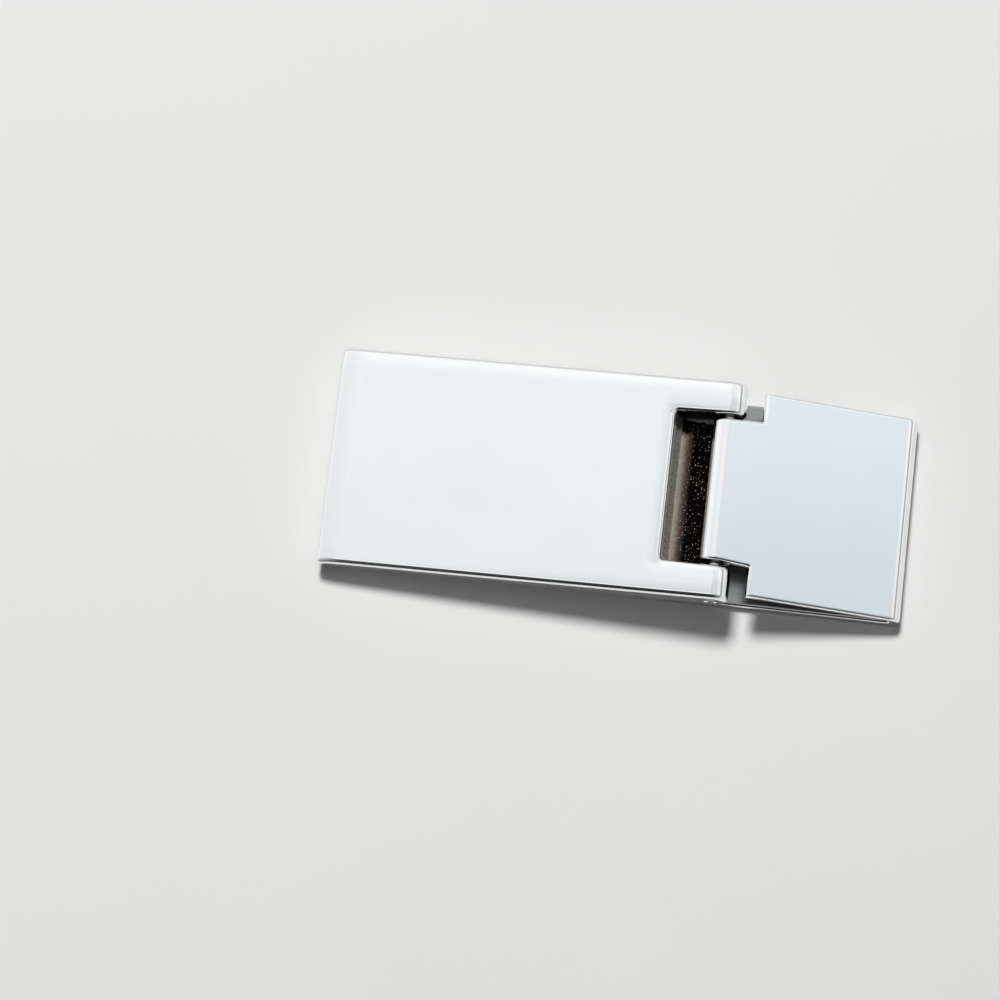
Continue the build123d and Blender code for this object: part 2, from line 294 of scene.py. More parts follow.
def lathe(bm, profile, origin, axis, segments=48):
    """Turns a profile of (radius, height) points about an axis through origin."""
    axis = Vector(axis).normalized()
    side = axis.orthogonal().normalized()
    other = axis.cross(side)
    rings = []
    for radius, height in profile:
        if radius == 0:
            rings.append([bm.verts.new(origin + axis * height)])
            continue
        angles = [2 * math.pi * i / segments for i in range(segments)]
        rings.append([
            bm.verts.new(origin + axis * height + (side * math.cos(a) + other * math.sin(a)) * radius)
            for a in angles
        ])
    for ring, following in zip(rings, rings[1:]):
        for i in range(segments):
            j = (i + 1) % segments
            corners = [ring[i % len(ring)], ring[j % len(ring)]]
            corners += [following[j % len(following)], following[i % len(following)]]
            bm.faces.new(in_order(corners))


# ================================================================ materials
BRIGHT_METAL = (0.93, 0.94, 0.945)
BODY_WARM_METAL = (0.915, 0.925, 0.93)
FLAP_WARM_METAL = (0.92, 0.925, 0.93)
PIN_METAL = (0.90, 0.91, 0.91)
PIN_WARM_METAL = (0.86, 0.86, 0.86)
RUBBED_METAL = (0.97, 0.97, 0.96)
# Painted shade: sheltered gaps in the plating are tinted toward this dark grey
SHADE_PAINTED_METAL = (0.24, 0.235, 0.23)
# Satin steel on the sheet's inner faces; its dark grey is partly the steel's tone and partly painted shade
SATIN_SHADE_DARK, SATIN_SHADE_LIGHT = (0.30, 0.30, 0.305), (0.44, 0.44, 0.44)
CAST_METAL = (0.66, 0.61, 0.52)
PITTED_METAL = (0.25, 0.23, 0.19)
# Painted highlight: the top of the notch's matt back wall is tinted toward this light colour
HIGHLIGHT_PAINTED_METAL = (0.95, 0.94, 0.92)
# Painted shade: the narrowest gaps and the notch's far corner are tinted toward this near black
DEEP_SHADE_PAINT = (0.05, 0.045, 0.04)
SPRING_LIGHT, SPRING_DARK = (0.52, 0.465, 0.385), (0.43, 0.38, 0.31)
# Painted shade: the spring's upper side darkens through these toward the rolled end and the notch's walls
SPRING_DIM_SHADE = (0.19, 0.155, 0.12)
SPRING_BROWN_SHADE = (0.08, 0.05, 0.035)
SPRING_BLACK_SHADE = (0.003, 0.002, 0.002)
SPECK_DARK, SPECK_LIGHT = (0.16, 0.13, 0.11), (0.62, 0.61, 0.62)
RIVET_LIGHT, RIVET_DARK = (0.66, 0.65, 0.63), (0.48, 0.46, 0.43)
PAPER_DARK, PAPER_LIGHT = (0.89, 0.89, 0.88), (0.91, 0.91, 0.90)
SHADE_PAINTED_REACH = 6.0  # gaps narrower than this are painted darker, as shade
DEEP_SHADE_REACH = 1.3  # gaps narrower than this are painted near black, as deep shade
SKIN_TOP_Z = flap_top(NOTCH_RIM_X) - 0.55  # above this the notch's back wall is polished
SKIN_REACH = 0.8  # the cast skin lies within this of the wall's foot
PAINTED_HIGHLIGHT_HEIGHT = 0.4  # the skin's top, over this height, is painted lighter as a highlight
NOTCH_SHADE_TOP_Z = flap_top(NOTCH_RIM_X) - 0.45  # above this the notch's walls get no painted shade
SHADED_CORNER = Vector((PIN.x - 5.3, 7.7, 5.0))  # middle of the ball of painted shade in the notch's far back corner
SHADED_CORNER_REACH = 1.75
WALL_FOOT_X = PIN.x - 4.93  # where the notch's back wall meets the spring
SPRING_SHADE_X = PIN.x - 3.95  # the spring's warm bare band ends here and its painted shade begins
FAR_SHADE_Y = 6.1  # beyond about this, the spring is painted black as shade
PEEL_HEIGHT = 0.0012  # depth of the orange peel in the plating
GRAIN_HEIGHT = 0.003  # depth of the grain in plain steel


def new_material(name):
    """A node material, its node tree and its Principled shader."""
    material = bpy.data.materials.new(name)
    material.use_nodes = True
    return material, material.node_tree, material.node_tree.nodes["Principled BSDF"]


def node(tree, kind, inputs=None, **settings):
    """Adds a node, sets its properties, and sets or links its inputs by name or number."""
    made = tree.nodes.new(kind)
    for key, value in settings.items():
        setattr(made, key, value)
    for key, value in (inputs or {}).items():
        if isinstance(value, bpy.types.NodeSocket):
            tree.links.new(value, made.inputs[key])
        else:
            made.inputs[key].default_value = value
    return made


def calc(tree, operation, a, b=0.0, c=0.0):
    """A maths node's result."""
    return node(tree, "ShaderNodeMath", {0: a, 1: b, 2: c}, operation=operation).outputs[0]


def product(tree, first, *others):
    """Values multiplied together."""
    for other in others:
        first = calc(tree, "MULTIPLY", first, other)
    return first


def mapped_noise(tree, scale, stretch=(1, 1, 1), turn=0.0, detail=3.0, rough=0.5):
    """Noise in object space. scale is in features per metre, and stretch squeezes it along each axis."""
    place = node(tree, "ShaderNodeTexCoord").outputs["Object"]
    rotation = (0, 0, math.radians(turn))
    moved = node(tree, "ShaderNodeMapping", {"Vector": place, "Rotation": rotation, "Scale": stretch})
    inputs = {"Vector": moved.outputs[0], "Scale": scale, "Detail": detail, "Roughness": rough}
    return node(tree, "ShaderNodeTexNoise", inputs).outputs["Fac"]


def remap(tree, value, from_low, from_high, to_low, to_high):
    """A clamped linear remap."""
    inputs = {"Value": value, "From Min": from_low, "From Max": from_high}
    inputs.update({"To Min": to_low, "To Max": to_high})
    return node(tree, "ShaderNodeMapRange", inputs).outputs["Result"]


def mask(tree, value, none_at, full_at):
    """A mask that rises from 0 to 1 as a value goes from none_at to full_at."""
    return remap(tree, value, none_at, full_at, 0.0, 1.0)


def mix_color(tree, factor, low, high):
    """A mix of two colours, each a tuple or a socket. Sockets 6, 7 and 2 are the colours in and out."""
    mixer = tree.nodes.new("ShaderNodeMix")
    mixer.data_type = "RGBA"
    for socket, value in ((mixer.inputs[0], factor), (mixer.inputs[6], low), (mixer.inputs[7], high)):
        if isinstance(value, bpy.types.NodeSocket):
            tree.links.new(value, socket)
        else:
            socket.default_value = value if isinstance(value, float) else (*value, 1)
    return mixer.outputs[2]


def hairlines(tree, turn, threshold):
    """A mask of sparse hairline scratches that run at an angle to the clip's length."""
    lines = mapped_noise(tree, 900, stretch=(0.02, 3.2, 1), turn=turn, detail=2.0)
    return mask(tree, lines, threshold, threshold + 0.03)


def crevices(tree, reach, open_share):
    """A mask that is 1 deep in gaps and 0 where at least open_share of the sky is clear."""
    shelter = node(tree, "ShaderNodeAmbientOcclusion", {"Distance": reach * MM}, samples=8)
    deep_share = open_share * 0.35
    return mask(tree, shelter.outputs["AO"], open_share, deep_share)


def object_place(tree):
    """The piece's own coordinates, in metres, whole and split in three."""
    place = node(tree, "ShaderNodeTexCoord").outputs["Object"]
    return place, *node(tree, "ShaderNodeSeparateXYZ", {0: place}).outputs[:]


def facing(tree):
    """The surface's direction in the piece's own coordinates, split in three."""
    normal = node(tree, "ShaderNodeTexCoord").outputs["Normal"]
    return node(tree, "ShaderNodeSeparateXYZ", {0: normal}).outputs[:]


def upper_side(tree):
    """A mask of the surfaces that face upward while the clip is shut."""
    return calc(tree, "GREATER_THAN", facing(tree)[2], 0.05)


def add_relief(tree, shader, height, distance):
    """Fine bumps, distance millimetres deep for a height of 1."""
    bump = node(tree, "ShaderNodeBump", {"Height": height, "Distance": distance * MM, "Strength": 1.0})
    tree.links.new(bump.outputs[0], shader.inputs["Normal"])


def notch_painted_shade(tree):
    """A mask of the shade painted dark in the notch's far back corner and down its far side wall."""
    place, x, y, z = object_place(tree)
    ends = {0: place, 1: SHADED_CORNER * MM}
    away = node(tree, "ShaderNodeVectorMath", ends, operation="DISTANCE").outputs["Value"]
    in_corner = mask(tree, away, SHADED_CORNER_REACH * MM, SHADED_CORNER_REACH * 0.75 * MM)
    faces_near = mask(tree, facing(tree)[1], -0.7, -0.95)
    past_rim = calc(tree, "GREATER_THAN", x, NOTCH_RIM_X * MM)
    on_far_side = product(tree, faces_near, past_rim, calc(tree, "GREATER_THAN", y, 0.0))
    below = mask(tree, z, NOTCH_SHADE_TOP_Z * MM, (NOTCH_SHADE_TOP_Z - 0.15) * MM)
    return product(tree, calc(tree, "MAXIMUM", in_corner, on_far_side), below)


def cast_skin(tree):
    """A mask of the matt cast skin that polishing has left on the lower part of the notch's back wall."""
    _, x, y, z = object_place(tree)
    low = mask(tree, z, (SKIN_TOP_Z + 0.15) * MM, SKIN_TOP_Z * MM)
    from_foot = calc(tree, "ABSOLUTE", calc(tree, "SUBTRACT", x, WALL_FOOT_X * MM))
    near_wall = calc(tree, "LESS_THAN", from_foot, SKIN_REACH * MM)
    between_lugs = calc(tree, "LESS_THAN", calc(tree, "ABSOLUTE", y), (NOTCH_ROOT_HALF_WIDTH - 0.2) * MM)
    return product(tree, low, near_wall, between_lugs, upper_side(tree))


def inner_faces(tree):
    """A mask of the sheet's inner faces: the back plate's top and the front plate's underside."""
    _, x, _, z = object_place(tree)
    up = facing(tree)[2]
    low = calc(tree, "LESS_THAN", z, (SHEET + 0.05) * MM)
    above_plate = product(tree, low, mask(tree, up, 0.75, 0.97))
    beyond_roll = calc(tree, "GREATER_THAN", x, (PIN.x + KNUCKLE_RADIUS) * MM)
    under_front = product(tree, calc(tree, "SUBTRACT", 1.0, low), mask(tree, up, -0.75, -0.9), beyond_roll)
    return calc(tree, "MAXIMUM", above_plate, under_front)


def plating(name, color, warm, seed_turn, in_notch=False, satin_and_shade_inside=False):
    """Bright plating: a mirror with orange peel, scratches, haze and rubbed edges, with its gaps painted
    dark as shade.
    """
    material, tree, shader = new_material(name)
    haze = mapped_noise(tree, 130, turn=seed_turn, detail=4.0)
    one_way, other_way = hairlines(tree, seed_turn + 7, 0.69), hairlines(tree, seed_turn - 64, 0.71)
    scratches = calc(tree, "MAXIMUM", one_way, other_way)
    rubbed = mask(tree, node(tree, "ShaderNodeNewGeometry").outputs["Pointiness"], 0.505, 0.56)
    tone = mix_color(tree, mask(tree, haze, 0.35, 0.65), color, warm)
    tone = mix_color(tree, product(tree, rubbed, 0.25), tone, RUBBED_METAL)
    # Gaps are painted darker as shade, by how little of the sky they see, and made rougher
    painted_shade = crevices(tree, SHADE_PAINTED_REACH, 0.45)
    tone = mix_color(tree, painted_shade, tone, SHADE_PAINTED_METAL)
    # Narrow gaps are painted near black in ragged patches, as deep shade
    patchy = remap(tree, mapped_noise(tree, 2200), 0.3, 0.6, 0.75, 1.0)
    deep_shade = product(tree, crevices(tree, DEEP_SHADE_REACH, 0.5), patchy)
    rough = calc(tree, "MULTIPLY_ADD", scratches, 0.05, remap(tree, haze, 0.3, 0.7, 0.018, 0.045))
    rough = calc(tree, "MULTIPLY_ADD", painted_shade, 0.16, calc(tree, "MULTIPLY_ADD", rubbed, 0.04, rough))
    shader.inputs["Metallic"].default_value = 1.0
    relief = 0.0
    if satin_and_shade_inside:
        # The inner faces are satin steel with a rolling grain, painted darker than the plating as shade
        inside = inner_faces(tree)
        rolled = mapped_noise(tree, 5200, stretch=(0.03, 1, 1), detail=3.0)
        tone = mix_color(tree, inside, tone, mix_color(tree, rolled, SATIN_SHADE_DARK, SATIN_SHADE_LIGHT))
        rough = calc(tree, "MULTIPLY_ADD", inside, 0.2, rough)
        relief = product(tree, inside, rolled)
    if in_notch:
        # The notch's far back corner and far side wall are painted dark as shade
        deep_shade = calc(tree, "MAXIMUM", deep_shade, notch_painted_shade(tree))
        skin = cast_skin(tree)
        unpitted = mask(tree, mapped_noise(tree, 5200, detail=3.0), 0.42, 0.5)
        # The matt band's top is painted lighter, as a highlight
        painted_highlight = mask(tree, object_place(tree)[3], (SKIN_TOP_Z - PAINTED_HIGHLIGHT_HEIGHT) * MM, SKIN_TOP_Z * MM)
        cast = mix_color(tree, unpitted, PITTED_METAL, CAST_METAL)
        tone = mix_color(tree, skin, tone, mix_color(tree, painted_highlight, cast, HIGHLIGHT_PAINTED_METAL))
        rough = calc(tree, "MULTIPLY_ADD", skin, 0.35, rough)
        tree.links.new(calc(tree, "MULTIPLY_ADD", skin, -0.8, 1.0), shader.inputs["Metallic"])
    tree.links.new(mix_color(tree, deep_shade, tone, DEEP_SHADE_PAINT), shader.inputs["Base Color"])
    tree.links.new(calc(tree, "MULTIPLY_ADD", deep_shade, 0.25, rough), shader.inputs["Roughness"])
    peel = mapped_noise(tree, 420, turn=seed_turn, detail=1.0)
    relief = calc(tree, "ADD", relief, calc(tree, "MULTIPLY_ADD", scratches, -0.12, peel))
    add_relief(tree, shader, relief, PEEL_HEIGHT)
    return material


def spring_painted_shade(tree, x, y):
    """Masks of where the spring's upper side is painted dim, brown and black as shade, with ragged borders.
    """
    blotch = mapped_noise(tree, 3200, detail=4.0, rough=0.7)
    ragged_x = calc(tree, "MULTIPLY_ADD", blotch, 0.7 * MM, x)
    ragged_y = calc(tree, "MULTIPLY_ADD", blotch, 0.8 * MM, y)
    dim_shade = mask(tree, ragged_x, (SPRING_SHADE_X - 0.7) * MM, (SPRING_SHADE_X + 0.3) * MM)
    brown_shade = mask(tree, ragged_x, SPRING_SHADE_X * MM, (SPRING_SHADE_X + 0.5) * MM)
    by_roll = mask(tree, ragged_x, (SPRING_SHADE_X + 0.4) * MM, (SPRING_SHADE_X + 0.95) * MM)
    far_side = mask(tree, ragged_y, FAR_SHADE_Y * MM, (FAR_SHADE_Y + 0.6) * MM)
    at_wall = mask(tree, x, (WALL_FOOT_X + 0.16) * MM, WALL_FOOT_X * MM)
    black_shade = calc(tree, "MAXIMUM", calc(tree, "MAXIMUM", by_roll, far_side), at_wall)
    above = upper_side(tree)
    return [product(tree, stain, above) for stain in (dim_shade, brown_shade, black_shade)]


def spring_steel():
    """Rolled spring steel: warm, painted brown and black as shade toward the rolled end and the notch's
    walls, with bright specks there.
    """
    material, tree, shader = new_material("spring_steel")
    grain = mapped_noise(tree, 2600, stretch=(1, 0.04, 1), detail=3.0)
    fine = mapped_noise(tree, 9000, detail=2.0)
    place, x, y, _ = object_place(tree)
    dim_shade, brown_shade, black_shade = spring_painted_shade(tree, x, y)
    steel = mix_color(tree, mask(tree, grain, 0.3, 0.7), SPRING_LIGHT, SPRING_DARK)
    # The spring is painted darker toward the rolled end, and black beside it and at the walls, as shade
    steel = mix_color(tree, dim_shade, steel, SPRING_DIM_SHADE)
    steel = mix_color(tree, brown_shade, steel, SPRING_BROWN_SHADE)
    steel = mix_color(tree, black_shade, steel, SPRING_BLACK_SHADE)
    inputs = {"Vector": place, "Scale": 3300.0, "Randomness": 0.9}
    cells = node(tree, "ShaderNodeTexVoronoi", inputs, voronoi_dimensions="2D")
    chance, glow, _ = node(tree, "ShaderNodeSeparateColor", {0: cells.outputs["Color"]}).outputs[:]
    speck = calc(tree, "LESS_THAN", cells.outputs["Distance"], remap(tree, chance, 0.35, 1.0, 0.03, 0.17))
    speck = product(tree, speck, calc(tree, "GREATER_THAN", brown_shade, glow))
    speck_color = mix_color(tree, mask(tree, glow, 0.2, 0.9), SPECK_DARK, SPECK_LIGHT)
    tree.links.new(mix_color(tree, speck, steel, speck_color), shader.inputs["Base Color"])
    covered = calc(tree, "MAXIMUM", speck, product(tree, black_shade, 0.7))
    tree.links.new(calc(tree, "SUBTRACT", 1.0, covered), shader.inputs["Metallic"])
    rough = remap(tree, grain, 0.3, 0.7, 0.22, 0.34)
    tree.links.new(calc(tree, "MULTIPLY_ADD", black_shade, 0.35, rough), shader.inputs["Roughness"])
    tree.links.new(calc(tree, "MULTIPLY_ADD", black_shade, -0.5, 0.5), shader.inputs["Specular IOR Level"])
    relief = calc(tree, "ADD", calc(tree, "ADD", grain, fine), speck)
    add_relief(tree, shader, relief, GRAIN_HEIGHT)
    return material


def rivet_steel():
    """Plain bright steel with a fine grain and a few dull patches."""
    material, tree, shader = new_material("rivet_steel")
    patches = mapped_noise(tree, 900, detail=4.0)
    grain = mapped_noise(tree, 5000, stretch=(1, 0.15, 1), detail=2.0)
    tone = mix_color(tree, mask(tree, patches, 0.35, 0.7), RIVET_LIGHT, RIVET_DARK)
    shader.inputs["Metallic"].default_value = 1.0
    tree.links.new(tone, shader.inputs["Base Color"])
    tree.links.new(remap(tree, patches, 0.3, 0.7, 0.18, 0.36), shader.inputs["Roughness"])
    add_relief(tree, shader, grain, GRAIN_HEIGHT)
    return material


# ================================================================ pieces
def body_path():
    """The sheet's outer face in the side view: back plate, fold, front plate and the roll on the pin."""
    plate_normal = direction(90 - FRONT_SLOPE)
    plate_start = FOLD_CENTRE + plate_normal * FOLD_RADIUS
    plate_end = PIN + plate_normal * KNUCKLE_RADIUS
    path = Path(Vector((body_low.x, 0.0)), 0.0)
    path.run(FOLD_CENTRE.x - body_low.x)
    path.turn(FOLD_RADIUS, 180 - FRONT_SLOPE)
    path.run((plate_end - plate_start).length)
    path.turn(KNUCKLE_RADIUS, ROLL_TURN)
    return path


def body_sheet(material):
    """The bent sheet: back plate, fold, front plate, shoulders, tongue and rolled end with cam flats."""
    path = body_path()
    roll_start = path.legs[-1][0]
    shoulder = roll_start - (SHOULDER_X - path.at(roll_start)[0].x) / math.cos(math.radians(FRONT_SLOPE))
    corners = [
        (0.0, -BODY_HALF_WIDTH, BACK_CORNER_RADIUS),
        (shoulder, -BODY_HALF_WIDTH, SHOULDER_CORNER_RADIUS),
        (shoulder, -TONGUE_ROOT_HALF_WIDTH, SHOULDER_CORNER_RADIUS),
        (roll_start, -TONGUE_TIP_HALF_WIDTH, SHOULDER_CORNER_RADIUS),
        (path.length, -TONGUE_TIP_HALF_WIDTH, SHOULDER_CORNER_RADIUS),
        (path.length, TONGUE_TIP_HALF_WIDTH, SHOULDER_CORNER_RADIUS),
        (roll_start, TONGUE_TIP_HALF_WIDTH, SHOULDER_CORNER_RADIUS),
        (shoulder, TONGUE_ROOT_HALF_WIDTH, SHOULDER_CORNER_RADIUS),
        (shoulder, BODY_HALF_WIDTH, SHOULDER_CORNER_RADIUS),
        (0.0, BODY_HALF_WIDTH, BACK_CORNER_RADIUS),
    ]
    bm = rounded_plate(corners, SHEET, SHEET_EDGE_ROUND)
    for distance in path.cuts(STRAIGHT_STEP):
        cut(bm, (distance, 0, 0), (1, 0, 0))
    rolled = [vert for vert in bm.verts if vert.co.x > roll_start]
    bend(bm, path, 1)
    # The roll is pressed flat on two sides, where the spring bears on it
    for vert in rolled:
        vert.co.x = max(vert.co.x, PIN.x - CAM_FLAT_DISTANCE)
        vert.co.z = max(vert.co.z, PIN.y - CAM_FLAT_DISTANCE)
    return finish_mesh(bm, "bent_sheet_body", "body", ["clip_body"], material)


def flap_profile():
    """The flap's side view with spare length at the tip, counterclockwise from the top of the lugs."""
    spare_x = TIP_X - TIP_SPARE
    points = [Vector((spare_x, flap_top(spare_x))), Vector((spare_x, underside(spare_x)))]
    first, last, segments = UNDERSIDE_SLOPE - 90, 90 + FLAP_SLOPE, 44
    angles = [first + (last - first) * i / segments for i in range(segments + 1)]
    return points + [PIN + direction(angle) * LUG_RADIUS for angle in angles]


def extruded_profile(points, half_width):
    """A side-view outline drawn out to both sides."""
    bm = bmesh.new()
    near = [bm.verts.new((p.x, -half_width, p.y)) for p in points]
    far = [bm.verts.new((p.x, half_width, p.y)) for p in points]
    bm.faces.new(near)
    bm.faces.new(far)
    for i in range(len(points)):
        j = (i + 1) % len(points)
        bm.faces.new((near[i], near[j], far[j], far[i]))
    bmesh.ops.recalc_face_normals(bm, faces=bm.faces)
    return bm


def round_edges(bm, edges, radius, segments):
    """Rounds edges with a circular section."""
    bmesh.ops.bevel(
        bm, geom=edges, offset=radius, offset_type="OFFSET", segments=segments, profile=0.5,
        affect="EDGES", clamp_overlap=False, miter_outer="SHARP", miter_inner="SHARP",
    )


def notch_half_width(x):
    """The notch widens evenly from its back wall to the lugs' ends."""
    share = (x - NOTCH_RIM_X) / (PIN.x + LUG_RADIUS - NOTCH_RIM_X)
    return NOTCH_ROOT_HALF_WIDTH + (NOTCH_MOUTH_HALF_WIDTH - NOTCH_ROOT_HALF_WIDTH) * share


def past_wall(point):
    """How far a point lies beyond the notch's leaning back wall, toward the hinge."""
    lean = math.tan(math.radians(NOTCH_WALL_DRAFT))
    return point.x - NOTCH_RIM_X - (flap_top(NOTCH_RIM_X) - point.z) * lean


def fill_wall(bm, verts):
    """A face over coplanar points that lie on a convex side-view outline."""
    middle = sum((v.co for v in verts), Vector()) / len(verts)
    ordered = sorted(verts, key=lambda v: math.atan2(v.co.z - middle.z, v.co.x - middle.x))
    return bm.faces.new(ordered)


def cut_beside_notch(bm, outward, lugs):
    """Cuts faces of both lugs along planes that lie outward millimetres from the notch's side walls."""
    flare = NOTCH_MOUTH_HALF_WIDTH - NOTCH_ROOT_HALF_WIDTH
    for side in (-1, 1):
        start = Vector((NOTCH_RIM_X, side * (NOTCH_ROOT_HALF_WIDTH + outward), 0))
        along = Vector((PIN.x + LUG_RADIUS - NOTCH_RIM_X, side * flare, 0))
        chosen = [f for f in bm.faces if lugs(f.calc_center_median())]
        cut(bm, start, along.cross(Vector((0, 0, 1))), chosen)


def cut_notch(bm):
    """Removes the block between the lugs, closes the cut with walls and rounds its upright corners."""
    rim_z = flap_top(NOTCH_RIM_X)
    draft = math.radians(NOTCH_WALL_DRAFT)
    cut(bm, (NOTCH_RIM_X, 0, rim_z), (math.cos(draft), 0, math.sin(draft)))
    cut_beside_notch(bm, 0, lambda middle: past_wall(middle) > 0)

    def between_lugs(face):
        middle = face.calc_center_median()
        return past_wall(middle) > 0 and abs(middle.y) < NOTCH_ROOT_HALF_WIDTH

    bmesh.ops.delete(bm, geom=[f for f in bm.faces if between_lugs(f)], context="FACES")
    rim = in_order(v for e in bm.edges if e.is_boundary for v in e.verts)
    root = [v for v in rim if abs(past_wall(v.co)) < SAME_PLACE]
    lower_near, upper_near, lower_far, upper_far = sorted(root, key=lambda v: (v.co.y > 0, v.co.z))
    bm.faces.new((lower_near, lower_far, upper_far, upper_near))
    for side in (-1, 1):
        fill_wall(bm, [v for v in rim if v.co.y * side > 0])
    bmesh.ops.recalc_face_normals(bm, faces=bm.faces)
    ends = ({lower_near, upper_near}, {lower_far, upper_far})
    round_edges(bm, [e for e in bm.edges if set(e.verts) in ends], NOTCH_CORNER_RADIUS, segments=5)


def round_notch_rim(bm):
    """Rounds the rim round the notch's top and round the lugs' ends."""
    def is_wall(face):
        middle = face.calc_center_median()
        in_notch = past_wall(middle) > -SAME_PLACE and abs(middle.y) < NOTCH_MOUTH_HALF_WIDTH
        return in_notch and abs(face.normal.z) < 0.5

    walls = {f for f in bm.faces if is_wall(f)}

    def on_rim(edge):
        middle = (edge.verts[0].co + edge.verts[1].co) / 2
        upper = middle.z > PIN.y or middle.x > PIN.x
        return upper and len(edge.link_faces) == 2 and len(walls.intersection(edge.link_faces)) == 1

    round_edges(bm, [e for e in bm.edges if on_rim(e)], NOTCH_EDGE_ROUND, segments=4)


def cut_tip(bm):
    """Cuts off the spare length and rounds the tip's edge."""
    whole = list(bm.verts) + list(bm.edges) + list(bm.faces)
    plane = {"plane_co": (TIP_X, 0, 0), "plane_no": (1, 0, 0)}
    made = bmesh.ops.bisect_plane(bm, geom=whole, clear_inner=True, dist=ON_PLANE, **plane)
    rim = [g for g in made["geom_cut"] if isinstance(g, bmesh.types.BMEdge)]
    bmesh.ops.edgeloop_fill(bm, edges=rim)
    bmesh.ops.recalc_face_normals(bm, faces=bm.faces)
    round_edges(bm, rim, TIP_EDGE_ROUND, segments=4)


def roll_off(distance):
    """How far polishing lowers a face, that far in from the start of its rounded edge."""
    if distance >= ROLL_OFF_WIDTH:
        return 0.0
    share = 1 - max(distance, 0.0) / ROLL_OFF_WIDTH
    overrun = max(-distance, 0.0) * 2 * ROLL_OFF_DROP / ROLL_OFF_WIDTH
    return ROLL_OFF_DROP * share**2 + overrun


def soften_flap(bm):
    """Lowers the top face beside its edges and curls it down at the tip, and less so the metal below it."""
    for vert in bm.verts:
        x, y, z = vert.co
        top, bottom = flap_top(x), underside(x)
        if top <= bottom:
            continue
        share = max(0.0, min(1.0, (z - bottom) / (top - bottom)))
        drop = roll_off(FLAP_HALF_WIDTH - FLAP_EDGE_ROUND - abs(y))
        before_notch = max(0.0, NOTCH_RIM_X - x)
        beside_notch = max(0.0, abs(y) - notch_half_width(max(x, NOTCH_RIM_X)))
        drop += roll_off(math.hypot(before_notch, beside_notch) - NOTCH_EDGE_ROUND)
        into_curl = max(0.0, TIP_X + TIP_CURL_LENGTH - x)
        curl = TIP_CURL_RADIUS - math.sqrt(TIP_CURL_RADIUS**2 - into_curl**2)
        vert.co.z -= (drop + curl) * share


def carve(piece, cutter_bm):
    """Subtracts a closed cutter, in millimetres, from a piece's mesh."""
    mesh = bpy.data.meshes.new("cutter")
    bmesh.ops.recalc_face_normals(cutter_bm, faces=cutter_bm.faces)
    cutter_bm.to_mesh(mesh)
    cutter_bm.free()
    mesh.transform(Matrix.Scale(MM, 4))
    cutter = bpy.data.objects.new("cutter", mesh)
    bpy.context.scene.collection.objects.link(cutter)
    carving = piece.modifiers.new("carving", "BOOLEAN")
    carving.operation = "DIFFERENCE"
    carving.solver = "EXACT"
    carving.object = cutter
    bpy.context.view_layer.update()
    carved = bpy.data.meshes.new_from_object(piece.evaluated_get(bpy.context.evaluated_depsgraph_get()))
    piece.modifiers.remove(carving)
    piece.data = carved
    bpy.data.objects.remove(cutter)


def pocket_cutter():
    """The block that sinks the spring's pocket into the underside, out through the notch's back wall."""
    corners = [
        (POCKET_END_X, -POCKET_HALF_WIDTH, POCKET_CORNER_RADIUS),
        (POCKET_MOUTH_X, -POCKET_HALF_WIDTH, CUTTER_CORNER_RADIUS),
        (POCKET_MOUTH_X, POCKET_HALF_WIDTH, CUTTER_CORNER_RADIUS),
        (POCKET_END_X, POCKET_HALF_WIDTH, POCKET_CORNER_RADIUS),
    ]
    bm = rounded_plate(corners, CUTTER_HEIGHT, 0.0, round_segments=1)
    for vert in bm.verts:
        ceiling = underside(vert.co.x, POCKET_DEPTH)
        vert.co.z = ceiling if vert.co.z > CUTTER_HEIGHT / 2 else 0.0
    return bm


def pin_hole_cutters():
    """A blind hole in each lug's side for the end of the pin, with a fine chamfer."""
    outer = FLAP_HALF_WIDTH + CUTTER_SPARE
    radius = PIN_RADIUS + PIN_HOLE_CLEARANCE
    profile = [
        (0.0, outer),
        (PIN_RADIUS + PIN_HOLE_CHAMFER + CUTTER_SPARE, outer),
        (radius, FLAP_HALF_WIDTH - PIN_HOLE_CHAMFER),
        (radius, FLAP_HALF_WIDTH - PIN_HOLE_DEPTH),
        (0.0, FLAP_HALF_WIDTH - PIN_HOLE_DEPTH),
    ]
    bm = bmesh.new()
    for side in (-1, 1):
        lathe(bm, profile, Vector((PIN.x, 0, PIN.y)), (0, side, 0))
    return bm


def flap_casting(material):
    """The cast flap: wedge body, two lugs, notch, spring pocket, pin holes and softened edges."""
    bm = extruded_profile(flap_profile(), FLAP_HALF_WIDTH)
    sides = [f for f in bm.faces if abs(f.normal.y) > 0.99]
    round_edges(bm, in_order(e for f in sides for e in f.edges), FLAP_EDGE_ROUND, segments=8)
    cut_notch(bm)
    round_notch_rim(bm)
    cut_tip(bm)
    steps = [ROLL_OFF_WIDTH * share for share in ROLL_OFF_CUTS]
    for step in steps:
        for side in (-1, 1):
            cut(bm, (0, side * (FLAP_HALF_WIDTH - FLAP_EDGE_ROUND - step), 0), (0, 1, 0))
        cut(bm, (NOTCH_RIM_X - NOTCH_EDGE_ROUND - step, 0, 0), (1, 0, 0))
    softened_from = NOTCH_RIM_X - NOTCH_EDGE_ROUND - ROLL_OFF_WIDTH
    for step in steps:
        cut_beside_notch(bm, NOTCH_EDGE_ROUND + step, lambda middle: middle.x > softened_from)
    for step in TIP_CURL_CUTS:
        cut(bm, (TIP_X + step, 0, 0), (1, 0, 0))
    soften_flap(bm)
    piece = finish_mesh(bm, "cast_flap", "flap", ["front_flap"], material)
    carve(piece, pocket_cutter())
    carve(piece, pin_hole_cutters())
    return piece


